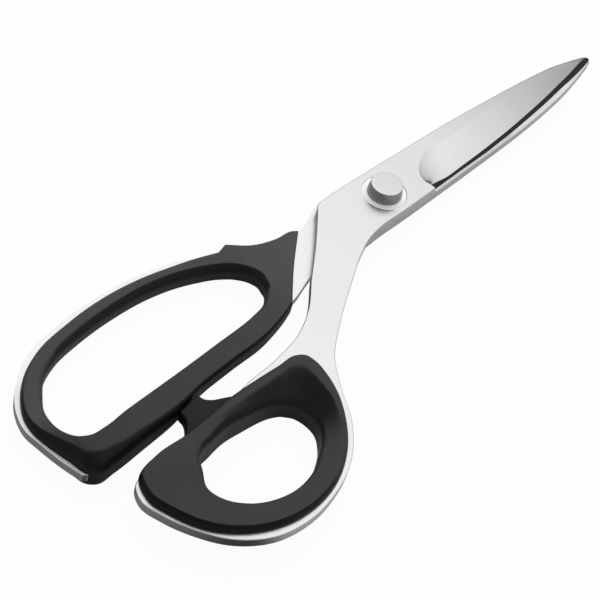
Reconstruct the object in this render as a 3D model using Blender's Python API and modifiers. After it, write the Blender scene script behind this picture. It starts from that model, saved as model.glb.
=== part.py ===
# Tailor shears: two flat steel blades with bows, moulded grips and an adjustable pivot.
# Frame: the pivot axis is Z through the origin, the tips point along +X, Z = 0 is the table.
# The shears lie closed. The finger blade is the lower one, the thumb blade the upper one.

import math

import bmesh
import bpy
import numpy as np

MM = 0.001

# Fit between neighbouring pieces
GAP = 0.3 * MM

# Blades
PLATE = 2.85 * MM
REST = 2.75 * MM
BLADE_LENGTH = 102.5 * MM
TIP_THICK = 1.1 * MM
TAPER_START = 30.0 * MM

# Ground blade face, measured across the blade from its cutting edge
EDGE_THICK = 0.3 * MM
BEVEL_WIDTH = 0.9 * MM
BEVEL_THICK = 1.2 * MM
FACET_WIDTH = 1.1 * MM
FACET_THICK = 1.8 * MM
SPINE_LAND = 4.6 * MM
HOLLOW_SAG = 0.25 * MM
GRIND_START = 12.4 * MM
GRIND_CRESCENT = 9.0 * MM
CRESCENT_POWER = 1.7
RUN_OUT = 12.0 * MM

# Most of the blade's width that the bevel, the bevel with the facet and the land take near the tip
BEVEL_MOST = 0.2
FACET_MOST = 0.4
LAND_MOST = 0.35

# Distance from the pivot to the far end of the bows. Outlines and ribs are rows of numbers in
# ROW_UNIT, so that they follow this size.
HANDLE_LENGTH = 149.0 * MM
ROWS_REACH = 149.0
ROW_UNIT = HANDLE_LENGTH / ROWS_REACH

# Grips
KEY_HOLE = 1.1 * MM
LIP = 1.4 * MM
DISH_SAG = 0.18
FINGER_BASE_ROUND = 1.4 * MM
FINGER_LOWER_RUN = 1.6 * MM
THUMB_BASE_ROUND = 1.6 * MM
THUMB_LOWER_RUN = 2.2 * MM

# Closing stop, a bridge from the thumb grip to the wall of the finger grip
STOP_SLACK = 0.02 * MM
STOP_LOW = 3.0 * MM
STOP_HIGH = 7.2 * MM
STOP_ROUND = 0.8 * MM
STOP_FACE_STEPS = 4

# Pivot
HEAD_R = 7.0 * MM
HEAD_CHAMFER = 0.5 * MM
KEY_R = 4.2 * MM
KEY_FLAT = 3.3 * MM
SHOULDER_R = 3.5 * MM
BUSH_WALL = 1.0 * MM
WASHER_R = 7.5 * MM
WASHER_THICK = 0.6 * MM
RING_R = 6.8 * MM
RING_THICK = 0.7 * MM
RING_TEETH = 36
TOOTH = 0.15 * MM
RING_KEY_R = 3.2 * MM
RING_KEY_FLAT = 2.6 * MM
STEM_R = 2.5 * MM
SPRING_R = 4.2 * MM
SPRING_THICK = 0.3 * MM
SPRING_WAVE = 0.35 * MM
SPRING_WAVES = 3
KNOB_R = 5.55 * MM
KNOB_HIGH = 3.8 * MM
KNOB_ROOF = 1.3 * MM
KNOB_CHAMFER = 0.8 * MM

# Sampling
OUTLINE_STEP = 3.2 * MM
RIB_STEP = 5.0 * MM
TURN_STEPS = 40
HOLE_STEPS = 16
WELD = 0.001 * MM
SMOOTH_ANGLE = 35
CORNER_ANGLE = 60
CUT_MARGIN = 2.0 * MM
CUT_LIFT = 0.05 * MM
HOLLOW_SHARES = [0, 0.25, 0.5, 0.75, 1.0]
GRIND_SHARES = [
    -0.03, 0, 0.02, 0.045, 0.075, 0.11, 0.15, 0.22, 0.32, 0.42, 0.52, 0.62, 0.72, 0.8, 0.87, 0.94, 1,
]

# Heights that follow from the sizes
FINGER_LOW = REST
FINGER_TOP = FINGER_LOW + PLATE
THUMB_LOW = FINGER_TOP + GAP
THUMB_TOP = THUMB_LOW + PLATE
MATE = (FINGER_TOP + THUMB_LOW) / 2
WASHER_LOW = MATE - WASHER_THICK / 2
WASHER_HIGH = MATE + WASHER_THICK / 2
RING_LOW = THUMB_TOP - RING_THICK
KNOB_LOW = THUMB_TOP + GAP
KNOB_TOP = KNOB_LOW + KNOB_HIGH
STEM_TOP = KNOB_TOP - KNOB_ROOF - GAP
SPRING_HIGH = KNOB_LOW + SPRING_THICK + 2 * SPRING_WAVE

# Fits around the pivot
SHOULDER_BORE = SHOULDER_R + GAP
BUSH_R = SHOULDER_BORE + BUSH_WALL
BUSH_BORE = BUSH_R + GAP
STEM_BORE = STEM_R + GAP
STOP_FIT = GAP + STOP_SLACK

# Marks a row where the curve through the rows turns a corner
SHARP = "sharp"

# Both blades' sides from the pivot to the tip: share of the blade's length, and Y
LEFT_SIDE = [
    (0, 9.45), (0.2, 9), (0.39, 8.55), (0.565, 7.8), (0.71, 6.95), (0.8, 6.2), (0.865, 5.45), (0.915, 4.3),
    (0.965, 3),
]
RIGHT_SIDE = [
    (0, -8.72), (0.2, -8.14), (0.33, -7.72), (0.47, -7.32), (0.6, -6.7), (0.72, -5.65), (0.82, -4.35),
    (0.9, -2.75), (0.955, -1.38),
]
TIP = [(0.988, -0.4), (1, 0.5), (0.997, 1.5)]

# Thumb blade behind the pivot, X and Y: down its left side, and back up its right side
THUMB_LEFT = [
    (-18, 9.45), (-19.6, 9.35), (-20.8, 8.8), (-24, 6), (-33.2, -1.9), (-44, -10.4), (-54, -18.5),
    (-63, -23), (-75, -25.5), (-91, -27.1), (-97, -28.9), (-104, -30.4), (-120, -31.4), (-133, -31.2),
    (-138.8, -32.6),
]
THUMB_RIGHT = [
    (-141.8, -38), (-140.6, -45), (-137, -53.9), (-131, -62.6), (-121.2, -69.3), (-109, -71.5), (-97, -69.8),
    (-84.5, -64.6), (-74, -55.2), (-67, -44.2), (-60.6, -35.8), (-49.5, -27.6), (-33, -17.7), (-24, -12.7),
    (-18, -10.2), (-11, -8.9),
]

# Finger blade behind the pivot, X and Y
FINGER_LEFT = [
    (-10, 10.2), (-17.6, 10.6), (-20, 10.1), (-25, 8.1), (-31, 6.1), (-38, 5.2), (-45, 6.6), (-53, 10.8),
    (-59, 13.9), (-66.5, 18.8), (-80, 22.5), (-98, 24.3), (-116, 23.3), (-129, 20.6), (-138.4, 15.4),
    (-145.4, 8.5), (-148.6, 1), (-148.5, -5), (-147.8, -13),
]
FINGER_RIGHT = [
    (-146.5, -20.1, SHARP), (-145.3, -20.9, SHARP), (-128, -19.4), (-100, -16.4), (-68, -14.5), (-57, -12.6),
    (-50, -11.1), (-43, -8.8), (-36, -7.2), (-29, -7.4), (-20, -9.2), (-10, -8.85),
]

# Openings of the steel bows under the grips, X and Y
THUMB_WINDOW = [
    (-106, -33), (-94, -32.8), (-83, -33.2), (-75.4, -36.6), (-73.6, -43.4), (-76.4, -51), (-83, -58),
    (-92, -63.2), (-104, -65.3), (-116, -63), (-124.2, -56), (-126.4, -46), (-124.4, -38.4), (-117, -34.8),
]
FINGER_WINDOW = [
    (-51.6, 0), (-55, -6.6), (-62, -10.8), (-84, -12.4), (-110, -14.2), (-132, -16), (-141.4, -13.2),
    (-144.6, -4), (-140, 7), (-131, 13.8), (-116, 18), (-98, 19.2), (-80, 18), (-66, 14), (-56.6, 8),
]

# Holes in the steel that the moulded grips fill, X and Y
THUMB_KEYS = [
    (-69.6, -36), (-79, -29.6), (-72, -46.2), (-87.6, -63), (-104, -67.2), (-121, -63), (-131, -53.6),
    (-133, -41.5),
]
FINGER_KEYS = [(-45, 1.8), (-48.2, -4.6), (-144.2, -16.4), (-130, 16.6), (-98, 20.9), (-72.5, 17.8)]

# Closing stop: X of its face's ends, and its flanks from the root to the face and back, X and Y.
# The face follows the finger grip's feet between two X.
STOP_FACE = (-110.4, -101.4)
BAR_SPAN = (-140, -60)
STOP_FLANKS = [
    [(-117, -31, SHARP), (-113.4, -27.6), (-111.2, -25.2), (-110.5, -23)],
    [(-100.7, -23), (-98.6, -24.6), (-94.6, -26.2), (-89.6, -28, SHARP), (-92, -31, SHARP)],
]

# Ribs of the grips. In turn: X and Y of the foot on the outside, X and Y of the wall in the
# finger hole, crest over the steel, run of the shoulder, drop of the top towards the hole,
# height over the table, and how far the lower half stands back from the foot.
FINGER_RIBS = [
    (-31.7, 6.1, -54.6, 1.6, 1.7, 1.0, 0, 1.2, 0, SHARP),
    (-43.0, -2.9, -55.1, -1.2, 1.7, 1.0, 0, 1.2, 0),
    (-54.1, -12.9, -57.7, -5.4, 1.7, 1.0, 0, 1.2, 0, SHARP),
    (-58.4, -14.4, -60.7, -7.5, 1.7, 1.0, 0, 1.2, 0),
    (-68, -16.7, -67.0, -8.8, 1.7, 1.1, 0, 1.2, 0),
    (-84, -17.7, -84.0, -9.8, 1.7, 1.2, 0, 1.2, 0),
    (-98, -18.7, -98.0, -10.5, 1.9, 1.4, 0, 1.0, 0),
    (-111, -21.2, -111.0, -11.4, 3.0, 2.2, 0, 0.3, 0),
    (-124, -22.3, -123.0, -12.3, 4.1, 3.0, 0, 0, 0),
    (-136, -23.1, -132.4, -13.3, 4.9, 4.6, 0, 0, 0),
    (-142.7, -22.9, -137.6, -12.9, 5.1, 6.4, 0, 0, 0),
    (-145.3, -20.5, -140.2, -11.4, 5.0, 5.6, 0, 0, 0.2),
    (-146.4, -14.8, -141.5, -9.2, 4.5, 3.9, 0, 0, 0.8),
    (-148.0, -7.4, -142.1, -5.3, 3.7, 2.6, 0, 0.3, 0.8),
    (-148.0, -1.4, -141.4, -1.3, 2.9, 2.0, 0, 0.8, 0.8),
    (-146.4, 3.9, -139.8, 2.6, 2.2, 1.8, 0, 1.0, 0.8),
    (-142.5, 9.7, -136.3, 6.9, 1.8, 1.6, 0, 1.2, 0.8),
    (-135.8, 15.5, -131.5, 11.4, 1.7, 1.6, 0, 1.2, 0.8),
    (-127, 19.6, -124.4, 14.5, 1.7, 1.5, 0, 1.2, 0.8),
    (-113, 22.1, -112.0, 16.6, 1.7, 1.5, 0, 1.2, 0.8),
    (-98, 22.9, -98.0, 17.3, 1.7, 1.5, 0, 1.2, 0.8),
    (-84, 21.7, -85.0, 16.6, 1.7, 1.5, 0, 1.2, 0.8),
    (-73, 19.4, -74.9, 14.6, 1.7, 1.4, 0, 1.2, 0.6),
    (-65, 17.3, -68.0, 12.2, 1.7, 1.2, 0, 1.2, 0.2),
    (-57.7, 14.8, -62.4, 9.6, 1.7, 1.0, 0, 1.2, 0, SHARP),
    (-53.9, 15.8, -59.6, 8.0, 1.7, 1.0, 0, 1.2, 0, SHARP),
    (-46.7, 10.3, -56.5, 5.3, 1.7, 1.0, 0, 1.2, 0),
    (-39.5, 7.9, -55.4, 3.2, 1.7, 1.0, 0, 1.2, 0),
    (-33.2, 7.1, -55.0, 2.1, 1.7, 1.0, 0, 1.2, 0),
]
THUMB_RIBS = [
    (-66.5, -33.6, -81.5, -40.6, 2.4, 5.4, 2.7, 0, 1.9),
    (-67.3, -38.6, -80.7, -43.6, 2.4, 5.2, 3.0, 0, 1.9),
    (-69.6, -45.0, -81.1, -48.3, 2.4, 4.0, 2.8, 0, 1.9),
    (-74.2, -52.4, -84.6, -53.2, 2.4, 2.8, 2.3, 0, 1.9),
    (-82.0, -60.8, -90.4, -57.3, 2.4, 2.2, 1.8, 0, 1.9),
    (-92.5, -67.1, -97.0, -60.7, 2.4, 1.8, 1.4, 0, 1.9),
    (-104, -69.7, -104.8, -61.9, 2.4, 1.6, 1.2, 0, 1.9),
    (-116, -68.6, -112.7, -60.5, 2.4, 1.6, 0.9, 0, 1.9),
    (-126.8, -63.5, -119.2, -57.1, 2.4, 1.6, 0.5, 0, 1.9),
    (-134.3, -56.0, -123.5, -52.1, 2.4, 1.6, 0.2, 0, 1.9),
    (-138.8, -46.0, -124.4, -46.0, 2.4, 1.6, 0, 0, 1.9),
    (-140.1, -38.2, -121.1, -41.2, 2.4, 1.6, 0, 0, 1.6),
    (-137.0, -31.8, -119.1, -38.1, 2.4, 1.7, 0, 0, 0.6),
    (-128.4, -29.5, -116.2, -36.3, 2.4, 2.0, 0.1, 0, 0),
    (-117, -29.4, -111.3, -35.4, 2.4, 2.4, 0.2, 0, 0),
    (-106, -28.4, -104.0, -34.4, 2.4, 3.0, 0.6, 0, 0),
    (-96.0, -27.5, -96.4, -34.9, 2.4, 3.4, 1.0, 0, 0.2),
    (-87.0, -27.5, -90.0, -35.6, 2.4, 3.8, 1.5, 0, 1.4),
    (-76.5, -27.9, -85.8, -36.8, 2.4, 4.6, 2.1, 0, 1.9),
    (-69.8, -28.2, -83.6, -38.1, 2.4, 5.2, 2.4, 0, 1.9),
    (-67.2, -30.0, -82.5, -39.3, 2.4, 5.4, 2.5, 0, 1.9),
]

STEEL = ((0.62, 0.62, 0.61), 0.28, 1.0)
POLISHED = ((0.66, 0.65, 0.63), 0.18, 1.0)
DARK_STEEL = ((0.35, 0.34, 0.33), 0.35, 1.0)
BRONZE = ((0.45, 0.33, 0.18), 0.4, 1.0)
POLYMER = ((0.72, 0.72, 0.70), 0.5, 0.0)
RUBBER = ((0.03, 0.03, 0.032), 0.6, 0.0)


def new_collection(name):
    group = bpy.data.collections.new(name)
    bpy.context.scene.collection.children.link(group)
    return group


def add_material(piece, look):
    colour, roughness, metallic = look
    surface = bpy.data.materials.new(piece.name)
    surface.use_nodes = True
    shader = surface.node_tree.nodes["Principled BSDF"]
    shader.inputs["Base Color"].default_value = (*colour, 1)
    shader.inputs["Roughness"].default_value = roughness
    shader.inputs["Metallic"].default_value = metallic
    surface.diffuse_color = (*colour, 1)
    piece.data.materials.append(surface)


# A finished piece goes into the object's collection, with its material and smooth shading
def finish(piece, look, group, parent=None):
    piece.data.shade_smooth()
    piece.data.set_sharp_from_angle(angle=math.radians(SMOOTH_ANGLE))
    add_material(piece, look)
    for owner in piece.users_collection:
        owner.objects.unlink(piece)
    group.objects.link(piece)
    piece.parent = parent
    return piece


# A cutter, or a shape that is joined to a piece, stays out of the render
def helper(shape, group):
    for owner in shape.users_collection:
        owner.objects.unlink(shape)
    group.objects.link(shape)
    shape.hide_render = True
    shape.display_type = "WIRE"
    return shape


def combine(piece, shape, operation, group):
    helper(shape, group)
    step = piece.modifiers.new(shape.name, "BOOLEAN")
    step.operation = operation
    step.object = shape
    step.solver = "EXACT"


# The evaluated shape becomes a welded mesh in the same place
def to_mesh(shape):
    graph = bpy.context.evaluated_depsgraph_get()
    graph.update()
    mesh = bpy.data.meshes.new_from_object(shape.evaluated_get(graph))
    edit = bmesh.new()
    edit.from_mesh(mesh)
    bmesh.ops.remove_doubles(edit, verts=edit.verts, dist=WELD)
    bmesh.ops.recalc_face_normals(edit, faces=edit.faces)
    edit.to_mesh(mesh)
    edit.free()
    solid = bpy.data.objects.new(shape.name, mesh)
    solid.matrix_world = shape.matrix_world.copy()
    bpy.context.scene.collection.objects.link(solid)
    name = shape.name
    bpy.data.objects.remove(shape)
    solid.name = name
    return solid


# Smooth closed curve through rows of numbers, cubic between neighbours, with corners at SHARP rows
def through(rows, step):
    corner = [row[-1] == SHARP for row in rows]
    knots = np.array([[value for value in row if value != SHARP] for row in rows], float)
    after = np.roll(knots, -1, axis=0)
    spans = np.linalg.norm((after - knots)[:, :4], axis=1)
    slopes = (after - knots) / spans[:, None]
    earlier = np.roll(slopes, 1, axis=0)
    weight = (spans / (spans + np.roll(spans, 1)))[:, None]
    tangents = earlier * weight + slopes * (1 - weight)
    samples = []
    for i, span in enumerate(spans):
        j = (i + 1) % len(knots)
        leave = slopes[i] if corner[i] else tangents[i]
        arrive = slopes[i] if corner[j] else tangents[j]
        parts = max(1, math.ceil(span / step))
        for t in np.arange(parts) / parts:
            start = knots[i] * (2 * t**3 - 3 * t**2 + 1) + leave * span * (t**3 - 2 * t**2 + t)
            end = knots[j] * (3 * t**2 - 2 * t**3) + arrive * span * (t**3 - t**2)
            samples.append(start + end)
    return np.array(samples)


# Outline in metres through rows of X and Y
def outline(rows):
    return through(rows, OUTLINE_STEP / ROW_UNIT) * ROW_UNIT


# The blade in front of the pivot: up its right side to the tip, and back down its left side
def blade_rows():
    shares = RIGHT_SIDE + TIP + LEFT_SIDE[::-1]
    return [(share * BLADE_LENGTH / ROW_UNIT, y) for share, y in shares]


def circle(centre, radius, steps=HOLE_STEPS):
    turn = np.arange(steps) * 2 * math.pi / steps
    return np.column_stack([centre[0] + radius * np.cos(turn), centre[1] + radius * np.sin(turn)])


# Circle with two flats, the shape of a key or of its hole
def double_flat(radius, flat):
    points = circle((0, 0), radius, TURN_STEPS)
    points[:, 0] = np.clip(points[:, 0], -flat, flat)
    return points


# Toothed circle, with one point on each crest and one in each root
def toothed(radius, depth, teeth):
    points = circle((0, 0), radius, 2 * teeth)
    points[1::2] *= (radius - depth) / radius
    return points


# Closed outline grown outwards by a distance, or shrunk where the distance is negative
def grown(points, distance):
    after = np.roll(points, -1, axis=0) - points
    area = np.sum(points[:, 0] * after[:, 1] - points[:, 1] * after[:, 0])
    sense = 1 if area > 0 else -1
    length = np.linalg.norm(after, axis=1)[:, None]
    normal = sense * np.column_stack([after[:, 1], -after[:, 0]]) / length
    previous = np.roll(normal, 1, axis=0)
    spread = 1 + np.sum(normal * previous, axis=1)[:, None]
    return points + distance * (normal + previous) / spread


# Flat piece between two heights: the first outline is its edge, the others are openings
def flat_piece(name, outlines, low, high):
    curve = bpy.data.curves.new(name, "CURVE")
    curve.dimensions = "2D"
    curve.fill_mode = "BOTH"
    curve.extrude = (high - low) / 2
    for points in outlines:
        spline = curve.splines.new("POLY")
        spline.points.add(len(points) - 1)
        flat = np.zeros((len(points), 4))
        flat[:, :2] = points
        flat[:, 3] = 1
        spline.points.foreach_set("co", flat.ravel())
        spline.use_cyclic_u = True
    shape = bpy.data.objects.new(name, curve)
    shape.location.z = (low + high) / 2
    bpy.context.scene.collection.objects.link(shape)
    bpy.context.view_layer.update()
    solid = to_mesh(shape)
    solid.data.transform(solid.matrix_world)
    solid.matrix_world.identity()
    return solid


# Turned piece about Z: the profile runs down its outer side, top to bottom, as radius and height
def turned(name, profile, closed=False):
    count = len(profile)
    edges = [(i, i + 1) for i in range(count - 1)]
    if closed:
        edges.append((count - 1, 0))
    mesh = bpy.data.meshes.new(name)
    mesh.from_pydata([(radius, 0, height) for radius, height in profile], edges, [])
    shape = bpy.data.objects.new(name, mesh)
    bpy.context.scene.collection.objects.link(shape)
    spin = shape.modifiers.new("turn", "SCREW")
    spin.steps = TURN_STEPS
    spin.render_steps = TURN_STEPS
    spin.use_merge_vertices = True
    spin.merge_threshold = WELD
    bpy.context.view_layer.update()
    return to_mesh(shape)


# Tube about Z with a square section
def ring_piece(name, inner, outer, low, high):
    return turned(name, [(outer, high), (outer, low), (inner, low), (inner, high)], closed=True)


def cylinder(name, radius, low, high):
    bpy.ops.mesh.primitive_cylinder_add(
        vertices=TURN_STEPS, radius=radius, depth=high - low, location=(0, 0, (low + high) / 2))
    shape = bpy.context.active_object
    shape.name = name
    return shape


def box(name, low, high):
    size = np.subtract(high, low)
    bpy.ops.mesh.primitive_cube_add(size=1, location=np.add(low, high) / 2, scale=size)
    shape = bpy.context.active_object
    shape.name = name
    return shape


# Closed body through a grid of points; a wrapped side joins its last row to its first
def grid_body(name, grid, wrap_rows):
    rows, columns = grid.shape[:2]
    edit = bmesh.new()
    verts = [[edit.verts.new(point) for point in row] for row in grid]
    for i in range(rows if wrap_rows else rows - 1):
        for j in range(columns):
            following = (i + 1) % rows
            side = (j + 1) % columns
            edit.faces.new([verts[i][j], verts[following][j], verts[following][side], verts[i][side]])
    if not wrap_rows:
        edit.faces.new(verts[0])
        edit.faces.new(verts[-1])
    bmesh.ops.triangulate(edit, faces=edit.faces)
    bmesh.ops.recalc_face_normals(edit, faces=edit.faces)
    mesh = bpy.data.meshes.new(name)
    edit.to_mesh(mesh)
    edit.free()
    shape = bpy.data.objects.new(name, mesh)
    bpy.context.scene.collection.objects.link(shape)
    return shape


# Y of one side of the blade at X
def side_at(side, x):
    return np.interp(x, [share * BLADE_LENGTH for share, y in side], [y * ROW_UNIT for share, y in side])


# The waste over the ground face of a blade. Across the blade the face climbs from the cutting edge
# by a bevel, a facet and a hollow to the land along the spine. Along the blade it starts in a
# crescent ahead of the pivot, and the whole blade thins towards the tip.
def grind_waste(name, edge, spine, mate, up):
    facet_end = BEVEL_WIDTH + FACET_WIDTH
    end = BLADE_LENGTH + CUT_MARGIN
    slope = (PLATE - TIP_THICK) / (BLADE_LENGTH - TAPER_START)
    columns = [("out", 0), ("edge", 0), ("bevel", 0)]
    columns += [("hollow", share) for share in HOLLOW_SHARES] + [("over", 1)]
    sections = []
    for share in GRIND_SHARES:
        face = []
        for kind, across in columns:
            start = GRIND_START + GRIND_CRESCENT * across**CRESCENT_POWER
            x = start + share * (end - start)
            reach = min(x, BLADE_LENGTH)
            edge_y = side_at(edge, reach)
            width = abs(side_at(spine, reach) - edge_y)
            inward = 1 if side_at(spine, 0) > side_at(edge, 0) else -1
            land = width - min(SPINE_LAND, LAND_MOST * width)
            bevel = min(BEVEL_WIDTH, BEVEL_MOST * width)
            facet = min(facet_end, FACET_MOST * width)
            full = PLATE + CUT_LIFT - slope * max(0, x - TAPER_START)
            scale = min(1, full / PLATE)
            offset = {"out": -CUT_MARGIN, "edge": 0, "bevel": bevel, "over": width + CUT_MARGIN}.get(
                kind, facet + across * (land - facet))
            ground = {"out": EDGE_THICK, "edge": EDGE_THICK, "bevel": BEVEL_THICK * scale, "over": full}.get(
                kind, FACET_THICK * scale + across * (full - FACET_THICK * scale)
                - 4 * across * (1 - across) * HOLLOW_SAG)
            t = np.clip((x - start) / RUN_OUT, -1, 1)
            ramp = 1 - (1 - t) ** 2 if t > 0 else t
            height = full - (full - ground) * ramp if kind != "over" else full
            face.append((x, edge_y + inward * offset, mate + up * height))
        roof = [(x, y, mate + up * (PLATE + CUT_MARGIN)) for x, y, z in reversed(face)]
        sections.append(face + roof)
    return grid_body(name, np.array(sections), wrap_rows=False)


def finger_outline():
    return outline(FINGER_LEFT + FINGER_RIGHT + blade_rows())


def thumb_outline():
    return outline(THUMB_LEFT + THUMB_RIGHT + blade_rows())


def key_holes(centres, radius):
    return [circle((x * ROW_UNIT, y * ROW_UNIT), radius) for x, y in centres]


def build_finger_blade(group, cutters):
    holes = [outline(FINGER_WINDOW), double_flat(KEY_R + GAP, KEY_FLAT + GAP)]
    holes += key_holes(FINGER_KEYS, KEY_HOLE)
    blade = flat_piece("finger_blade", [finger_outline()] + holes, FINGER_LOW, FINGER_TOP)
    waste = grind_waste("finger_grind", LEFT_SIDE, RIGHT_SIDE, FINGER_TOP, -1)
    combine(blade, waste, "DIFFERENCE", cutters)
    seat = cylinder("finger_washer_seat", WASHER_R + GAP, WASHER_LOW - GAP, FINGER_TOP + CUT_MARGIN)
    combine(blade, seat, "DIFFERENCE", cutters)
    return finish(blade, STEEL, group)


def build_thumb_blade(group, cutters, hinge):
    holes = [outline(THUMB_WINDOW), circle((0, 0), BUSH_BORE, TURN_STEPS)]
    holes += key_holes(THUMB_KEYS, KEY_HOLE)
    blade = flat_piece("thumb_blade", [thumb_outline()] + holes, THUMB_LOW, THUMB_TOP)
    waste = grind_waste("thumb_grind", RIGHT_SIDE, LEFT_SIDE, THUMB_LOW, 1)
    combine(blade, waste, "DIFFERENCE", cutters)
    seat = cylinder("thumb_washer_seat", WASHER_R + GAP, THUMB_LOW - CUT_MARGIN, WASHER_HIGH + GAP)
    combine(blade, seat, "DIFFERENCE", cutters)
    ring_seat = cylinder("thumb_ring_seat", RING_R + GAP, RING_LOW - GAP, THUMB_TOP + CUT_MARGIN)
    combine(blade, ring_seat, "DIFFERENCE", cutters)
    return finish(blade, STEEL, group, hinge)


# Quarter of an ellipse as shares of its run and of its rise, from upright to level
def quarter(angles):
    return [(1 - math.cos(math.radians(a)), math.sin(math.radians(a))) for a in angles]


# Section of a grip along one rib: shoulder, top, lip, wall in the finger hole, base and lower shoulder
def grip_section(rib, low, high, base_round, lower_run):
    foot = rib[:2]
    wall = rib[2:4]
    crest, run, drop, base, under = np.maximum(rib[4:], 0)
    width = np.linalg.norm(wall - foot)
    seat = high + GAP
    top = high + crest
    lip = top - drop
    floor = low - GAP
    flat = width - LIP - run
    section = [(run * back, seat + (top - seat) * rise) for back, rise in quarter([0, 22, 45, 68, 90])]
    for share in (1 / 3, 2 / 3):
        sag = 4 * share * (1 - share) * DISH_SAG * drop
        section.append((run + share * flat, top - share * drop - sag))
    for angle in (90, 45, 0):
        turn = math.radians(angle)
        section.append((width - LIP + LIP * math.cos(turn), lip - LIP + LIP * math.sin(turn)))
    for angle in (0, -30, -60, -90):
        turn = math.radians(angle)
        section.append((width - base_round + base_round * math.cos(turn),
                        base + base_round + base_round * math.sin(turn)))
    for back, rise in quarter([90, 60, 30, 0]):
        section.append((under + lower_run * back, floor - (floor - base) * rise))
    inward = (wall - foot) / width
    return [(*(foot + inward * reach), height) for reach, height in section]


def grip_body(name, rows, low, high, base_round, lower_run):
    ribs = through(rows, RIB_STEP / ROW_UNIT) * ROW_UNIT
    sections = [grip_section(rib, low, high, base_round, lower_run) for rib in ribs]
    return grid_body(name, np.array(sections), wrap_rows=True)


# The steel with its clearance, which the moulded grip leaves free
def steel_space(name, edge, window, keys, low, high):
    outlines = [grown(edge, GAP), grown(window, -GAP)] + key_holes(keys, KEY_HOLE - GAP)
    return flat_piece(name, outlines, low - GAP, high + GAP)


# Y of the finger grip's wall that the stop meets, at X
def bar_wall(x):
    feet = through(FINGER_RIBS, RIB_STEP / ROW_UNIT)[:, :2] * ROW_UNIT
    low, high = np.multiply(BAR_SPAN, ROW_UNIT)
    wall = feet[(feet[:, 0] > low) & (feet[:, 0] < high) & (feet[:, 1] < 0)]
    order = np.argsort(wall[:, 0])
    return np.interp(x, wall[order, 0], wall[order, 1])


def stop_bridge():
    reach = np.linspace(*STOP_FACE, STOP_FACE_STEPS)
    face = [(x, (bar_wall(x * ROW_UNIT) - STOP_FIT) / ROW_UNIT) for x in reach]
    rows = STOP_FLANKS[0] + [(*face[0], SHARP), *face[1:-1], (*face[-1], SHARP)] + STOP_FLANKS[1]
    bridge = flat_piece("stop_bridge", [outline(rows)], STOP_LOW, STOP_HIGH)
    edge = bridge.modifiers.new("round", "BEVEL")
    edge.width = STOP_ROUND
    edge.segments = 2
    edge.limit_method = "ANGLE"
    edge.angle_limit = math.radians(CORNER_ANGLE)
    return bridge


def build_finger_grip(group, cutters):
    grip = grip_body(
        "finger_grip", FINGER_RIBS, FINGER_LOW, FINGER_TOP, FINGER_BASE_ROUND, FINGER_LOWER_RUN)
    space = steel_space("finger_steel_space", finger_outline(), outline(FINGER_WINDOW), FINGER_KEYS,
                        FINGER_LOW, FINGER_TOP)
    combine(grip, space, "DIFFERENCE", cutters)
    return finish(grip, RUBBER, group)


def build_thumb_grip(group, cutters, hinge):
    grip = grip_body("thumb_grip", THUMB_RIBS, THUMB_LOW, THUMB_TOP, THUMB_BASE_ROUND, THUMB_LOWER_RUN)
    combine(grip, stop_bridge(), "UNION", cutters)
    space = steel_space("thumb_steel_space", thumb_outline(), outline(THUMB_WINDOW), THUMB_KEYS,
                        THUMB_LOW, THUMB_TOP)
    combine(grip, space, "DIFFERENCE", cutters)
    return finish(grip, RUBBER, group, hinge)


# Two boxes that cut the flats of a key
def cut_flats(piece, radius, flat, low, high, cutters):
    reach = radius + CUT_MARGIN
    for side in (-1, 1):
        near, far = sorted((side * flat, side * reach))
        cutter = box(f"{piece.name}_flat", (near, -reach, low), (far, reach, high))
        combine(piece, cutter, "DIFFERENCE", cutters)


# Headed screw: head under the finger blade, key in it, shoulder for the thumb blade, key for the
# ring, and the stem that carries the knob
def build_screw(group, cutters):
    head_top = FINGER_LOW - GAP
    key_top = WASHER_LOW - GAP
    shoulder_top = RING_LOW - GAP
    profile = [
        (0, STEM_TOP), (STEM_R - HEAD_CHAMFER, STEM_TOP), (STEM_R, STEM_TOP - HEAD_CHAMFER),
        (STEM_R, THUMB_TOP), (RING_KEY_R, THUMB_TOP), (RING_KEY_R, shoulder_top),
        (SHOULDER_R, shoulder_top), (SHOULDER_R, key_top), (KEY_R, key_top), (KEY_R, head_top),
        (HEAD_R, head_top), (HEAD_R, HEAD_CHAMFER), (HEAD_R - HEAD_CHAMFER, 0), (0, 0),
    ]
    screw = turned("pivot_screw", profile)
    cut_flats(screw, KEY_R, KEY_FLAT, head_top, key_top, cutters)
    cut_flats(screw, RING_KEY_R, RING_KEY_FLAT, shoulder_top, THUMB_TOP, cutters)
    return finish(screw, POLISHED, group)


def build_washer(group):
    washer = ring_piece("ride_washer", SHOULDER_BORE, WASHER_R, WASHER_LOW, WASHER_HIGH)
    return finish(washer, POLYMER, group)


def build_bush(group, hinge):
    bush = ring_piece("pivot_bush", SHOULDER_BORE, BUSH_R, WASHER_HIGH + GAP, RING_LOW - GAP)
    return finish(bush, BRONZE, group, hinge)


def build_click_ring(group):
    rim = toothed(RING_R, TOOTH, RING_TEETH)
    hole = double_flat(RING_KEY_R + GAP, RING_KEY_FLAT + GAP)
    return finish(flat_piece("click_ring", [rim, hole], RING_LOW, THUMB_TOP), POLISHED, group)


# Wave washer: a flat ring whose surface rises and falls as it goes round, made thick by Solidify
def build_spring(group):
    spring = turned("spring_washer", [(SPRING_R, 0), ((SPRING_R + STEM_BORE) / 2, 0), (STEM_BORE, 0)])
    middle = KNOB_LOW + SPRING_THICK / 2 + SPRING_WAVE
    for vert in spring.data.vertices:
        turn = math.atan2(vert.co.y, vert.co.x)
        vert.co.z = middle + SPRING_WAVE * math.cos(SPRING_WAVES * turn)
    shell = spring.modifiers.new("thick", "SOLIDIFY")
    shell.thickness = SPRING_THICK
    shell.offset = 0
    return finish(spring, DARK_STEEL, group)


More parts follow.
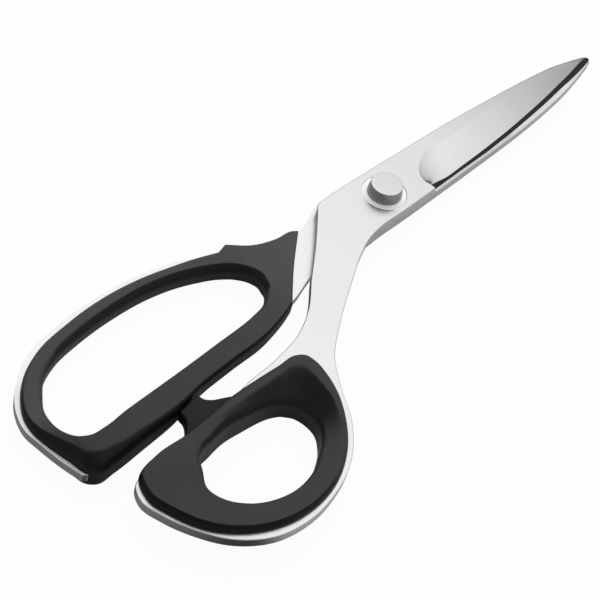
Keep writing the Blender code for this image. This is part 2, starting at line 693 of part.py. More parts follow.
# Turned knob with a room for the spring and a blind bore for the stem
def build_knob(group, hinge):
    room = SPRING_HIGH + GAP
    bore_top = KNOB_TOP - KNOB_ROOF
    profile = [
        (0, KNOB_TOP), (KNOB_R - KNOB_CHAMFER, KNOB_TOP), (KNOB_R, KNOB_TOP - KNOB_CHAMFER),
        (KNOB_R, KNOB_LOW), (SPRING_R + GAP, KNOB_LOW), (SPRING_R + GAP, room), (STEM_BORE, room),
        (STEM_BORE, bore_top), (0, bore_top),
    ]
    return finish(turned("adjusting_knob", profile), POLISHED, group, hinge)


def add_hinge(name, group):
    hinge = bpy.data.objects.new(name, None)
    group.objects.link(hinge)
    return hinge


def main():
    for old in list(bpy.data.objects):
        bpy.data.objects.remove(old)
    shears = new_collection("tailor_shears")
    cutters = new_collection("cutters")
    thumb_hinge = add_hinge("thumb_hinge", shears)
    knob_hinge = add_hinge("knob_hinge", shears)
    build_finger_blade(shears, cutters)
    build_thumb_blade(shears, cutters, thumb_hinge)
    build_finger_grip(shears, cutters)
    build_thumb_grip(shears, cutters, thumb_hinge)
    build_screw(shears, cutters)
    build_washer(shears)
    build_bush(shears, thumb_hinge)
    build_click_ring(shears)
    build_spring(shears)
    build_knob(shears, knob_hinge)


main()
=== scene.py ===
import math

import bmesh
import bpy
import numpy as np
from mathutils import Matrix, Vector, geometry


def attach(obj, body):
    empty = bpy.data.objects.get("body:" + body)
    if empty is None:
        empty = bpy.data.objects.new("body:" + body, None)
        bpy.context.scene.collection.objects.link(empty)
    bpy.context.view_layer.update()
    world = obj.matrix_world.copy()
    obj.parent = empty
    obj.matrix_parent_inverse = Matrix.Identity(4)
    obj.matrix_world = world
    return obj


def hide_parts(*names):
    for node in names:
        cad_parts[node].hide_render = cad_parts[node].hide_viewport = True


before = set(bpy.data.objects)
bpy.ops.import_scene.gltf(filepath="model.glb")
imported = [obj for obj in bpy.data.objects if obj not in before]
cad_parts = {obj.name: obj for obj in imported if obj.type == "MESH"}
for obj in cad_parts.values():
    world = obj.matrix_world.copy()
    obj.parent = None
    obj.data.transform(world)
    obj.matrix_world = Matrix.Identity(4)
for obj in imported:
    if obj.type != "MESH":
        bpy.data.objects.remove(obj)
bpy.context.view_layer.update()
mm = 0.001
sharp = "sharp"      # marks a row where a curve turns a corner
weldDistance = 0.002      # points closer than this are joined, in mm
shortEdge = 0.001
print("frame loaded:", len(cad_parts), "nodes")

# Shared sizes of the steel, in mm
steel = {
    "plate": 2.97,
    "fingerFace": 5.72,       # mating faces, a hair apart
    "thumbFace": 5.78,
    "fingerLow": 2.75,        # faces that the grips stand on
    "fingerTop": 5.60,
    "thumbLow": 5.90,
    "thumbTop": 8.75,
    "bladeLength": 102.5,
    "tipThick": 1.22,
    "taperStart": 30.0,
}

# sides and tip of a blade: share of its length, and Y
leftSide = [
    (0, 9.45), (0.2, 9), (0.39, 8.55), (0.565, 7.8), (0.71, 6.95), (0.8, 6.2), (0.865, 5.45),
    (0.915, 4.3), (0.965, 3),
]
rightSide = [
    (0, -8.72), (0.2, -8.14), (0.33, -7.72), (0.47, -7.32), (0.6, -6.7), (0.72, -5.65), (0.82, -4.35),
    (0.9, -2.75), (0.955, -1.38),
]
tipRows = [(0.988, -0.4), (1, 0.5), (0.997, 1.5)]

# the rest of both outlines, over shank and bow and back, and the windows of the bows: X and Y
thumbOutline = [
    (-18, 9.45), (-19.6, 9.35), (-20.8, 8.8), (-24, 6), (-33.2, -1.9), (-44, -10.4), (-54, -18.5),
    (-63, -23), (-75, -25.5), (-91, -27.1), (-97, -28.9), (-104, -30.4), (-120, -31.4), (-133, -31.2),
    (-138.8, -32.6), (-141.8, -38), (-140.6, -45), (-137, -53.9), (-131, -62.6), (-121.2, -69.3),
    (-109, -71.48), (-97, -69.8), (-84.5, -64.6), (-74, -55.2), (-67, -44.2), (-60.6, -35.8),
    (-49.5, -27.6), (-33, -17.7), (-24, -12.7), (-18, -10.2), (-11, -8.9),
]
fingerOutline = [
    (-10, 10.2), (-17.6, 10.6), (-20, 10.1), (-25, 8.1), (-31, 6.1), (-38, 5.2), (-45, 6.6),
    (-53, 10.8), (-59, 13.9), (-66.5, 18.8), (-80, 22.5), (-98, 24.3), (-116, 23.3), (-129, 20.6),
    (-138.4, 15.4), (-145.4, 8.5), (-148.55, 1), (-148.45, -5), (-147.8, -13),
    (-146.5, -20.1, sharp), (-145.3, -20.9, sharp), (-128, -19.4), (-100, -16.4), (-68, -14.5),
    (-57, -12.6), (-50, -11.1), (-43, -8.8), (-36, -7.2), (-29, -7.4), (-20, -9.2), (-10, -8.85),
]
thumbWindow = [
    (-106, -33), (-94, -32.8), (-83, -33.2), (-75.4, -36.6), (-73.6, -43.4), (-76.4, -51), (-83, -58),
    (-92, -63.2), (-104, -65.3), (-116, -63), (-124.2, -56), (-126.4, -46), (-124.4, -38.4),
    (-117, -34.8),
]
fingerWindow = [
    (-51.6, 0), (-55, -6.6), (-62, -10.8), (-84, -12.4), (-110, -14.2), (-132, -16), (-141.4, -13.2),
    (-144.6, -4), (-140, 7), (-131, 13.8), (-116, 18), (-98, 19.2), (-80, 18), (-66, 14), (-56.6, 8),
]


# Smooth closed curve through rows: between two rows each number is the cubic that meets both and
# leaves them along the weighted mean of the chords on either side, or along the chord at a corner.
def curveThrough(rows, step):
    corner = np.array([row[-1] == sharp for row in rows])[:, None]
    knots = np.array([[value for value in row if value != sharp] for row in rows], float)
    after = np.roll(knots, -1, axis=0)
    spans = np.linalg.norm((after - knots)[:, :4], axis=1)[:, None]
    slopes = (after - knots) / spans
    weight = spans / (spans + np.roll(spans, 1, axis=0))
    tangents = np.roll(slopes, 1, axis=0) * weight + slopes * (1 - weight)
    leave = np.where(corner, slopes, tangents)
    arrive = np.where(np.roll(corner, -1, axis=0), slopes, np.roll(tangents, -1, axis=0))
    parts = np.maximum(1, np.ceil(spans[:, 0] / step).astype(int))
    row = np.repeat(np.arange(len(knots)), parts)
    place = np.arange(len(row)) - np.repeat(np.cumsum(parts) - parts, parts)
    t = (place / parts[row])[:, None]
    return (
        knots[row] * (2 * t**3 - 3 * t**2 + 1) + leave[row] * spans[row] * (t**3 - 2 * t**2 + t)
        + after[row] * (3 * t**2 - 2 * t**3) + arrive[row] * spans[row] * (t**3 - t**2)
    )


# Rows of X and values, read in a straight line between two rows
def readRows(rows, x, column=1):
    table = np.array(rows)
    return np.interp(x, table[:, 0], table[:, column])


# Closed outline moved outwards by a distance along the bisector of its neighbouring sides
def grown(points, distance):
    after = np.roll(points, -1, axis=0) - points
    area = np.sum(points[:, 0] * after[:, 1] - points[:, 1] * after[:, 0])
    length = np.linalg.norm(after, axis=1)[:, None]
    normal = np.sign(area) * np.column_stack([after[:, 1], -after[:, 0]]) / length
    previous = np.roll(normal, 1, axis=0)
    spread = 1 + np.sum(normal * previous, axis=1)[:, None]
    return points + distance * (normal + previous) / spread


# Points at even angles round the pivot's axis
def circle(radius, steps):
    turn = np.arange(steps) * 2 * math.pi / steps
    return np.column_stack([radius * np.cos(turn), radius * np.sin(turn)])


# Quads between neighbours of a grid of points; a wrapped side joins its last line to its first
def gridFaces(rows, columns, wrapRows=False, wrapColumns=False):
    i, j = np.meshgrid(
        np.arange(rows if wrapRows else rows - 1), np.arange(columns if wrapColumns else columns - 1),
        indexing="ij")
    below, beside = (i + 1) % rows, (j + 1) % columns
    corners = [i * columns + j, below * columns + j, below * columns + beside, i * columns + beside]
    return np.stack(corners, -1).reshape(-1, 4)


# A grid of points with its quads and the zone of each
def gridPart(grid, zone, wrapRows=False, wrapColumns=False):
    rows, columns = grid.shape[:2]
    faces = gridFaces(rows, columns, wrapRows, wrapColumns)
    return grid.reshape(-1, 3), faces.tolist(), np.broadcast_to(zone, len(faces))


# True where a point lies inside a set of loops, by counting the sides that a ray to +X crosses
def insideLoops(points, loops):
    crossings = np.zeros(len(points), int)
    for loop in loops:
        a, b = loop, np.roll(loop, -1, axis=0)
        spanning = (a[None, :, 1] > points[:, 1:2]) != (b[None, :, 1] > points[:, 1:2])
        rise = np.where(b[:, 1] == a[:, 1], 1e-12, b[:, 1] - a[:, 1])
        at = a[None, :, 0] + (points[:, 1:2] - a[None, :, 1]) * (b - a)[None, :, 0] / rise[None, :]
        crossings += np.sum(spanning & (at > points[:, :1]), axis=1)
    return crossings % 2 == 1


# Flat face at one height, bounded by an outer loop and by the loops of its openings: a Delaunay
# net of all their points, of which the triangles inside stay
def flatPart(loops, height, zone):
    points = np.vstack(loops)
    starts = np.cumsum([0] + [len(loop) for loop in loops[:-1]])
    edges = np.vstack([
        np.column_stack([start + np.arange(len(loop)), start + np.roll(np.arange(len(loop)), -1)])
        for start, loop in zip(starts, loops)])
    corners = [Vector(point) for point in points.tolist()]
    made = geometry.delaunay_2d_cdt(corners, edges.tolist(), [], 0, 1e-7, False)
    places = points if len(made[0]) == len(points) else np.array([list(point) for point in made[0]])
    triangles = np.array(made[2])
    kept = triangles[insideLoops(places[triangles].mean(axis=1), loops)]
    flat = np.column_stack([places, np.full(len(places), height)])
    return flat, kept.tolist(), np.full(len(kept), zone)


# One closed mesh from parts that share their border points; sizes arrive in mm
def solid(name, parts, sharpAngle):
    points, faces, zones, first = [], [], [], 0
    for places, sides, marks in parts:
        points.append(places)
        faces += [[first + corner for corner in side] for side in sides]
        zones.append(marks)
        first += len(places)
    mesh = bpy.data.meshes.new(name)
    mesh.from_pydata((np.vstack(points) * mm).tolist(), [], faces)
    mesh.polygons.foreach_set("material_index", np.concatenate(zones).astype(np.int32))
    edit = bmesh.new()
    edit.from_mesh(mesh)
    bmesh.ops.remove_doubles(edit, verts=edit.verts, dist=weldDistance * mm)
    bmesh.ops.dissolve_degenerate(edit, edges=edit.edges, dist=shortEdge * mm)
    bmesh.ops.recalc_face_normals(edit, faces=edit.faces)
    loose = sum(1 for edge in edit.edges if not edge.is_manifold)
    edit.to_mesh(mesh)
    edit.free()
    mesh.shade_smooth()
    mesh.set_sharp_from_angle(angle=math.radians(sharpAngle))
    piece = bpy.data.objects.new(name, mesh)
    bpy.context.scene.collection.objects.link(piece)
    print("made", name, len(mesh.polygons), "faces, open edges:", loose)
    return piece


# Each zone's finish and painted shade, two or three numbers, goes on its corners; the fourth is the
# share of metal
def addFinishAndShade(piece, finishAndShadeRows, toneAt=None, metalAt=None):
    mesh = piece.data
    zones = np.zeros(len(mesh.polygons), np.int32)
    mesh.polygons.foreach_get("material_index", zones)
    counts = np.zeros(len(mesh.polygons), np.int32)
    mesh.polygons.foreach_get("loop_total", counts)
    zoneOf = np.repeat(zones, counts)
    rows = np.array(finishAndShadeRows, np.float32)[zoneOf]
    values = np.ones((len(rows), 4), np.float32)
    values[:, :rows.shape[1]] = rows
    corners = np.zeros(len(mesh.loops), np.int32)
    mesh.loops.foreach_get("vertex_index", corners)
    places = np.zeros(3 * len(mesh.vertices), np.float32)
    mesh.vertices.foreach_get("co", places)
    x, y = places[0::3][corners] / mm, places[1::3][corners] / mm
    if toneAt is not None:
        values[:, 0] *= toneAt(x, y, zoneOf)
    if metalAt is not None:
        values[:, 3] = metalAt(x, y)
    layer = mesh.attributes.new("finishAndShade", "FLOAT_COLOR", "CORNER")
    layer.data.foreach_set("color", values.ravel())
    mesh.polygons.foreach_set("material_index", np.zeros(len(mesh.polygons), np.int32))


# Shader maths: an expression on values adds its Math nodes
class Value:
    def __init__(self, look, socket):
        self.look = look
        self.socket = socket

    def maths(self, operation, *values):
        return self.look.node("ShaderNodeMath", {"operation": operation}, dict(enumerate(values)))

    def __add__(self, other):
        return self.maths("ADD", self, other)

    def __sub__(self, other):
        return self.maths("SUBTRACT", self, other)

    def __rsub__(self, other):
        return self.maths("SUBTRACT", other, self)

    def __mul__(self, other):
        return self.maths("MULTIPLY", self, other)

    def __pow__(self, other):
        return self.maths("POWER", self, other)

    __radd__ = __add__
    __rmul__ = __mul__

    def between(self, low, high):      # smooth step from 0 at low to 1 at high
        return self.look.node(
            "ShaderNodeMapRange", {"interpolation_type": "SMOOTHSTEP"}, {0: self, 1: low, 2: high})


class Look:
    def __init__(self, name, tree=None):
        self.material = None
        if tree is None:
            self.material = bpy.data.materials.new(name)
            self.material.use_nodes = True
            tree = self.material.node_tree
        self.tree = tree
        tree.nodes.clear()

    def node(self, kind, settings=None, inputs=None, output=0):
        made = self.tree.nodes.new(kind)
        for name, value in (settings or {}).items():
            setattr(made, name, value)
        for name, value in (inputs or {}).items():
            if isinstance(value, Value):
                self.tree.links.new(value.socket, made.inputs[name])
            else:
                made.inputs[name].default_value = value
        return Value(self, made.outputs[output]) if len(made.outputs) else None

    def coordinate(self, name):
        return self.node("ShaderNodeTexCoord", output=name)

    def noiseAt(self, place, detail):
        return self.node("ShaderNodeTexNoise", {}, {"Vector": place, "Scale": 1.0, "Detail": detail})

    def noise(self, scale, detail):      # on object coordinates, stretched
        here = self.coordinate("Object")
        return self.noiseAt(self.node("ShaderNodeMapping", {}, {"Vector": here, "Scale": scale}), detail)

    def split(self, vector):
        return [self.node("ShaderNodeSeparateXYZ", {}, {0: vector}, output=i) for i in range(3)]

    def finishAndShade(self, output="Vector"):      # the finish and painted shade written on the corners
        return self.node("ShaderNodeAttribute", {"attribute_name": "finishAndShade"}, output=output)

    def tint(self, colour, amount):      # a colour times a value
        return self.node("ShaderNodeVectorMath", {"operation": "SCALE"}, {0: colour, "Scale": amount})

    def mix(self, factor, first, second):
        inputs = {0: factor, 6: first, 7: second}
        return self.node("ShaderNodeMix", {"data_type": "RGBA"}, inputs, output=2)

    def bump(self, height, distance):
        return self.node("ShaderNodeBump", {}, {"Height": height, "Distance": distance})

    def surface(self, settings):
        shader = self.node("ShaderNodeBsdfPrincipled", {}, settings)
        self.node("ShaderNodeOutputMaterial", {}, {"Surface": shader})
        return self.material


# Brushed and ground steel: two long grains along X and slow clouds, each with its scale and detail, and
# painted shade on walls and borders
bladeLook = {
    "colour": (0.905, 0.892, 0.897),
    "grainLong": ((90.0, 2600.0, 2600.0), 2.0),
    "grainFine": ((420.0, 9000.0, 9000.0), 1.0),
    "cloud": ((60.0, 60.0, 60.0), 3.0),
    "grainTone": 0.05,
    "cloudTone": 0.05,
    "grainRough": 0.10,
    "cloudRough": 0.05,
    "grainShare": 0.6,              # of the long grain, the rest is the fine one
    "upright": (0.04, 0.36),        # square of the normal's Z where a wall passes into a face
    "paintedWallShade": 0.88,              # painted shade: how much darker the walls are that face the bows
    "shadeRange": (-0.60, -0.10),   # X of the normal between which that starts
    "endLight": 0.35,               # how much of it is taken back where they face along X
    "endRange": (-0.99, -0.72),
    "awayFrom": (0.35, 0.94),       # borders that face this way are painted darker, as shade
    "awayRange": (0.05, 0.40),
    "awayShade": 0.55,
    "bumpDepth": 0.000006,
}


def bladeSteel():
    b = bladeLook
    look = Look("satinSteel")
    tone, rough, brushed = look.split(look.finishAndShade())
    grain = look.noise(*b["grainLong"]) - 0.5
    fine = look.noise(*b["grainFine"]) - 0.5
    cloud = look.noise(*b["cloud"]) - 0.5
    streak = (grain * b["grainShare"] + fine * (1 - b["grainShare"])) * brushed
    x, y, z = look.split(look.coordinate("Normal"))
    # Painted shade: walls that face the bows, and borders that face away, are darker in colour
    wall = 1 - (z * z).between(*b["upright"])
    shaded = (1 - x.between(*b["shadeRange"])) * (1 - (1 - x.between(*b["endRange"])) * b["endLight"])
    away = (x * b["awayFrom"][0] + y * b["awayFrom"][1]).between(*b["awayRange"])
    tone = tone * (1 - wall * shaded * b["paintedWallShade"]) * (1 - away * b["awayShade"])
    tone = tone * (1 + streak * b["grainTone"] + cloud * b["cloudTone"])
    return look.surface({
        "Base Color": look.tint(b["colour"], tone),
        "Roughness": rough + streak * b["grainRough"] + cloud * b["cloudRough"],
        "Metallic": look.finishAndShade("Alpha"),
        "Normal": look.bump(streak, b["bumpDepth"]),
    })


# Moulded rubber: very fine grain, soft mottling, slightly paler where it is rubbed; painted shade makes
# walls and slopes that lean towards the bows dark, and painted light the flat tops paler
rubberLook = {
    # painted shade: the walls' colour, far darker than the top's
    "wall": (0.0055, 0.0055, 0.0060),
    "colour": (0.040, 0.040, 0.0412, 1),
    "worn": (0.047, 0.047, 0.048, 1),
    "grain": ((5200.0, 5200.0, 5200.0), 2.0),
    "skin": ((1500.0, 1500.0, 1500.0), 3.0),
    "mottle": ((70.0, 70.0, 70.0), 4.0),
    "roughness": 0.44,
    "gloss": 0.15,
    "wornRange": (0.35, 0.75),
    "mottleRough": 0.10,
    "skinRough": 0.06,
    "grainShare": 0.6,
    "leanTo": (-0.85, -0.52),     # slopes that lean this way keep the walls' painted shade
    "leanRange": (0.05, 0.22),
    "flatRange": (0.40, 0.97),    # Z of the normal where a wall passes into the top
    "grainDepth": 0.00002,
}


def gripRubber():
    r = rubberLook
    look = Look("mouldedRubber")
    grain = look.noise(*r["grain"])
    skin = look.noise(*r["skin"])
    mottle = look.noise(*r["mottle"])
    litTopTone, shadedWallTone = look.split(look.finishAndShade())[:2]
    x, y, z = look.split(look.coordinate("Normal"))
    # Painted shade and light: walls and slopes leaning towards the bows take the dark wall colour, flat
    # faces the paler top colour
    lean = x * r["leanTo"][0] + y * r["leanTo"][1]
    flat = (1 - lean.between(*r["leanRange"])) * z.between(*r["flatRange"])
    top = look.tint(look.mix(mottle.between(*r["wornRange"]), r["colour"], r["worn"]), litTopTone)
    uneven = (mottle - 0.5) * r["mottleRough"] + (skin - 0.5) * r["skinRough"]
    return look.surface({
        "Base Color": look.mix(flat, look.tint(r["wall"], shadedWallTone), top),
        "Specular IOR Level": r["gloss"],
        "Roughness": uneven + r["roughness"],
        "Normal": look.bump(grain * r["grainShare"] + skin * (1 - r["grainShare"]), r["grainDepth"]),
    })


# Turned metal: fine rings about the pivot's axis, with clouds
turnedLook = {
    "rings": 9000.0,
    "ringDetail": 2.0,
    "cloud": ((300.0, 300.0, 300.0), 3.0),
    "cloudTone": 0.06,
    "ringRough": 0.12,
    "cloudRough": 0.05,
    "upright": (0.04, 0.36),      # square of the normal's Z where the side passes into the top
    "bumpDepth": 0.000004,
}


# The side, if it differs, is given by its tone, which is painted shade, and its share of metal; the glow
# is painted light, an emission that brightens the surface
def turnedMetal(name, colour, roughness, ringTone, metallic=1.0, side=None, paintedGlow=0.0):
    t = turnedLook
    look = Look(name)
    x, y, z = look.split(look.coordinate("Object"))
    radius = (x * x + y * y) ** 0.5
    across = look.node("ShaderNodeCombineXYZ", {}, {0: radius * t["rings"], 1: z * t["rings"]})
    rings = look.noiseAt(across, t["ringDetail"]) - 0.5
    cloud = look.noise(*t["cloud"]) - 0.5
    shade = 1 + rings * ringTone + cloud * t["cloudTone"]
    metal = metallic
    if side is not None:
        facing = look.split(look.coordinate("Normal"))[2]
        top = (facing * facing).between(*t["upright"])
        # painted shade: the side is darker than the top
        shade = shade * (side[0] + top * (1 - side[0]))
        metal = (side[1] + top * (1 - side[1])) * metallic
    return look.surface({
        "Base Color": look.tint(colour, shade),
        "Roughness": roughness + rings * t["ringRough"] + cloud * t["cloudRough"],
        "Metallic": metal,
        # painted light: a glow with no lamp behind it
        "Emission Strength": paintedGlow,
        "Normal": look.bump(rings, t["bumpDepth"]),
    })


# Both blades, in mm
bladeShape = {
    "outlineStep": 0.5,
    "windowStep": 1.5,
    "boreSteps": 96,
    "edgeRound": 0.34,
    "edgeShare": 0.35,        # of the height, where that is less than the round
    "rimSteps": 5,
    "mateRound": 0.03,
    "sharpAngle": 8,
    "edgeThick": 0.35,
    "bevelThick": 1.32,
    "facetThick": 1.92,
    # X, and Y where the bevel ends and where the facet ends
    "bands": [
        (14, -8.4, -6.2), (17, -8.2, -6.2), (19, -8.1, -6.45), (21, -8.0, -6.8),
        (24, -7.82, -6.84), (27, -7.68, -6.65), (30, -7.6, -6.5), (34, -7.43, -6.31),
        (39, -7.22, -6.05), (46, -6.75, -5.58), (53, -6.26, -5.02), (60, -5.6, -4.32),
        (67, -4.88, -3.5), (74, -4.08, -2.62), (80, -3.24, -1.75), (85, -2.48, -0.92),
        (90, -1.92, -0.16), (95, -1.12, 0.82), (99, -0.4, 1.6), (102, 0.35, 2.2),
    ],
    "bandBlur": 1.5,          # the rows are averaged so far either way, at this many places
    "blurSteps": 5,
    "leastBevel": 0.12,
    "leastFacet": 0.3,
    "bevelShare": 0.45,       # shares of the width that the bands reach at most
    "facetShare": 0.85,
    "spineShare": 0.35,
    "spineLand": 4.6,
    "leastLand": 0.05,        # as a share of the width
    "landFade": (34, 80),     # X between which the land along the spine runs out
    "hollowSag": 0.25,
    # X of the hollow's start at the facet, and how the share of the way across it, its square and
    # its power change that
    "crescent": (14.6, -5.0, 12.6, 2.0),
    "crescentPower": 12,
    "crescentShade": 0.40,    # painted shade: how much darker the hollow is just inside the crescent
    "spineShade": 0.4,        # and how much of that is left at the spine
    "shadeFall": 4.0,
    "shadeAcross": (-6.2, 4.0),
    "runOut": 9.0,            # length over which the faces sink from the full plate
    "edgeRunOut": 1.6,
    "runOutShare": 0.25,      # share of the way across at which the run out is full
    "rows": 150,
    "bevelColumns": 3,
    "facetColumns": 2,
    "hollowColumns": 26,
    "landColumns": 6,
}

# zones of a blade and their finish with painted shade: tone, roughness, brushed grain
plateZone, rimZone, hollowZone, facetZone, bevelZone, innerZone = range(6)
bladeFinishAndShade = [
    (1.0, 0.30, 1.0),
    # painted shade: the rim is darker
    (0.56, 0.34, 0.3),
    (0.98, 0.20, 0.5),
    # painted dark reflection: the facet is nearly black
    (0.036, 0.12, 0.2),
    (0.95, 0.26, 0.4),
    (1.09, 0.32, 1.0),
]

# tone of the flat and hollow faces along X: darker towards the tip
toneTowardsTip = [
    (-70, 1.03), (-12, 1.0), (10, 0.95), (30, 0.94), (42, 0.89), (57, 0.79), (75, 0.64), (88, 0.51),
    (96, 0.46), (102, 0.36),
]


# X where the hollow starts, by the share of the way across it: a parabola that turns up at the spine
def crescentX(across):
    first, slope, square, last = bladeShape["crescent"]
    turnUp = last * across ** bladeShape["crescentPower"]
    return first + slope * across + square * across ** 2 + turnUp


# Tone along X, darker towards the tip, and in the hollow a painted shade that dies away exponentially
# from the crescent
def bladeTone(x, y, zone):
    b = bladeShape
    tipwardTone = readRows(toneTowardsTip, x)
    low, high = b["shadeAcross"]
    across = np.clip((y - low) / (high - low), 0, 1)
    near = np.exp(-np.maximum(0, x - crescentX(across)) / b["shadeFall"])
    # painted shade in the hollow behind the crescent, less of it towards the spine
    hollowShade = 1 - b["crescentShade"] * (1 - (1 - b["spineShade"]) * across) * near
    return np.select([zone == hollowZone, zone == plateZone], [tipwardTone * hollowShade, tipwardTone], 1.0)


# Along the right side to the tip and back along the left side
def bladeFront():
    rows = rightSide + tipRows + leftSide[::-1]
    return [(share * steel["bladeLength"], y) for share, y in rows]


# Height of the ground face over the mating plane. Across the blade it climbs by a bevel, a facet and
# a hollow arc to the land along the spine; along the blade it sinks from the full plate to that
# section by a parabola, and the full plate itself thins evenly to the tip.
def groundGrid(rightX, rightY, leftX, leftY, tipX):
    b = bladeShape
    counts = [b["bevelColumns"], b["facetColumns"], b["hollowColumns"], b["landColumns"]]
    zones = np.repeat([bevelZone, facetZone, hollowZone, plateZone], counts)
    shares = np.concatenate([
        np.arange(counts[0]) / counts[0], np.arange(counts[1]) / counts[1],
        np.linspace(0, 1, counts[2]), np.linspace(0, 1, counts[3] + 1)[1:]])
    across = np.select([zones == hollowZone, zones == plateZone], [shares, 1.0], 0.0)[None, :]
    start = crescentX(across)
    along = ((1 - np.cos(np.pi * np.linspace(0, 1, b["rows"]))) / 2)[:, None]
    x = start + (tipX - start) * along
    edgeY = np.interp(x, rightX, rightY)
    width = np.interp(x, leftX, leftY) - edgeY
    blur = np.linspace(-b["bandBlur"], b["bandBlur"], b["blurSteps"])
    bevelY, facetY = (
        np.mean([readRows(b["bands"], x + shift, column) for shift in blur], axis=0)
        for column in (1, 2))
    bevel = np.minimum(np.maximum(bevelY - edgeY, b["leastBevel"]), b["bevelShare"] * width)
    facet = np.minimum(np.maximum(facetY - edgeY, bevel + b["leastFacet"]), b["facetShare"] * width)
    fade = np.clip((x - b["landFade"][0]) / (b["landFade"][1] - b["landFade"][0]), 0, 1)
    spine = np.minimum(b["spineLand"], b["spineShare"] * width) * (1 - fade * fade * (3 - 2 * fade))
    land = width - np.maximum(spine, b["leastLand"] * width)
    s = shares[None, :]
    bands = [zones == bevelZone, zones == facetZone, zones == hollowZone]
    offset = np.select(
        bands, [bevel * s, bevel + (facet - bevel) * s, facet + (land - facet) * s],
        land + (width - land) * s)
    slope = (steel["plate"] - steel["tipThick"]) / (steel["bladeLength"] - steel["taperStart"])
    full = steel["plate"] - slope * np.maximum(0, x - steel["taperStart"])
    scale = full / steel["plate"]
    bevelTop, facetTop = b["bevelThick"] * scale, b["facetThick"] * scale
    bevelRise = b["edgeThick"] + (bevelTop - b["edgeThick"]) * s
    facetRise = bevelTop + (facetTop - bevelTop) * s
    hollowRise = facetTop + (full - facetTop) * s - 4 * s * (1 - s) * b["hollowSag"] * scale
    section = np.select(bands, [bevelRise, facetRise, hollowRise], full)
    grow = np.minimum(across / b["runOutShare"], 1)
    runOut = b["edgeRunOut"] + (b["runOut"] - b["edgeRunOut"]) * grow
    t = np.clip((x - start) / runOut, 0, 1)
    height = full - (full - section) * (1 - (1 - t) ** 2)
    grid = np.dstack([x, edgeY + offset, height])
    grid[-1, :, 1] = grid[-1, :, 1].mean()
    faceZones = np.where(zones[1:] == plateZone, plateZone, zones[:-1])
    return grid, np.tile(faceZones, b["rows"] - 1)


# A blade is built with its mating face down: the inset outline bounds both faces, and a rounded
# profile from the one to the other is carried along it. A bore is a stack of circles. A side of 1
# leaves it so, -1 turns it over about X, and then it moves up to the height of its mating face.
def bladeSolid(name, rows, windowRows, bore, side, face, metalAt=None):
    b = bladeShape
    dense = grown(curveThrough(rows, b["outlineStep"]), -b["edgeRound"])
    apex = int(np.argmax(dense[:, 0]))
    behind = int(np.flatnonzero(dense[:apex, 0] < 0)[-1])
    right, left = dense[behind:apex + 1], dense[apex:]
    patch, patchZones = groundGrid(
        right[:, 0], right[:, 1], left[::-1, 0], left[::-1, 1], dense[apex, 0])
    leftRear = left[left[:, 0] < crescentX(1)]
    rightRear = dense[:behind + np.flatnonzero(right[:, 0] > crescentX(0))[0]]
    front = np.vstack([patch[:, 0], patch[-2::-1, -1]])
    top = np.vstack([leftRear, rightRear, front[:, :2]])
    rimHeight = np.concatenate([np.full(len(leftRear) + len(rightRear), steel["plate"]), front[:, 2]])
    outside = grown(top, b["edgeRound"])
    lift = np.minimum(b["edgeRound"], b["edgeShare"] * rimHeight)
    rim = []
    for angle in np.radians(np.linspace(90, 0, b["rimSteps"])):
        place = top + (outside - top) * math.cos(angle)
        rim.append(np.column_stack([place, rimHeight - lift * (1 - math.sin(angle))]))
    rim.append(np.column_stack([outside, np.full(len(top), b["mateRound"])]))
    mate = top + (outside - top) * (1 - b["mateRound"] / b["edgeRound"])
    rim.append(np.column_stack([mate, np.zeros(len(top))]))
    # the rim below its top rounding takes the rim zone's painted shade
    rimZones = np.repeat([plateZone] * 2 + [rimZone] * (len(rim) - 3), len(top))
    window = curveThrough(windowRows, b["windowStep"])
    wall = np.array([np.column_stack([window, np.full(len(window), z)]) for z in (steel["plate"], 0)])
    steps = b["boreSteps"]
    rings = np.array([
        np.column_stack([circle(radius, steps), np.full(steps, z)]) for radius, z in bore])
    rear = np.vstack([leftRear, rightRear, patch[0, :, :2]])
    parts = [
        flatPart([rear, window, rings[-1][:, :2]], steel["plate"], plateZone),
        flatPart([mate, window, rings[0][:, :2]], 0.0, innerZone),
        gridPart(patch, patchZones),
        gridPart(np.array(rim), rimZones, wrapColumns=True),
        gridPart(wall, innerZone, wrapColumns=True),
        gridPart(rings, innerZone, wrapColumns=True),
    ]
    placed = [(places * np.array([1, side, side]) + np.array([0, 0, face]), faces, zones)
              for places, faces, zones in parts]
    piece = solid(name, placed, b["sharpAngle"])
    addFinishAndShade(piece, bladeFinishAndShade, lambda x, y, zone: bladeTone(x, side * y, zone), metalAt)
    return piece


def mirrored(rows):
    return [(row[0], -row[1], *row[2:]) for row in rows]


# The ledge behind the finger grip is matt, so that it stays pale beside the dark rubber
ledge = {"start": -136, "fade": 4, "matt": 0.95}


def ledgeMetal(x, y):
    return 1 - ledge["matt"] * np.clip((ledge["start"] - x) / ledge["fade"], 0, 1)


# bores: radius and height over the mating face
thumbBore = [(7.8, 0), (7.8, 0.57), (5.1, 0.57), (5.1, 1.97), (7.1, 1.97), (7.1, steel["plate"])]
fingerBore = [(7.8, 0), (7.8, 0.57), (4.5, 0.57), (4.5, steel["plate"])]
steelMaterial = bladeSteel()
thumbBlade = bladeSolid(
    "thumbBladeSteel", thumbOutline + bladeFront(), thumbWindow, thumbBore,
    1, steel["thumbFace"])
fingerBlade = bladeSolid(
    "fingerBladeSteel", mirrored((fingerOutline + bladeFront())[::-1]), mirrored(fingerWindow),
    fingerBore, -1, steel["fingerFace"], ledgeMetal)
for piece, node, body in (
        (thumbBlade, "thumb_blade", "thumb_half"), (fingerBlade, "finger_blade", "finger_half")):
    piece.data.materials.append(steelMaterial)
    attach(piece, body)
    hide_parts(node)
print("blades ready")

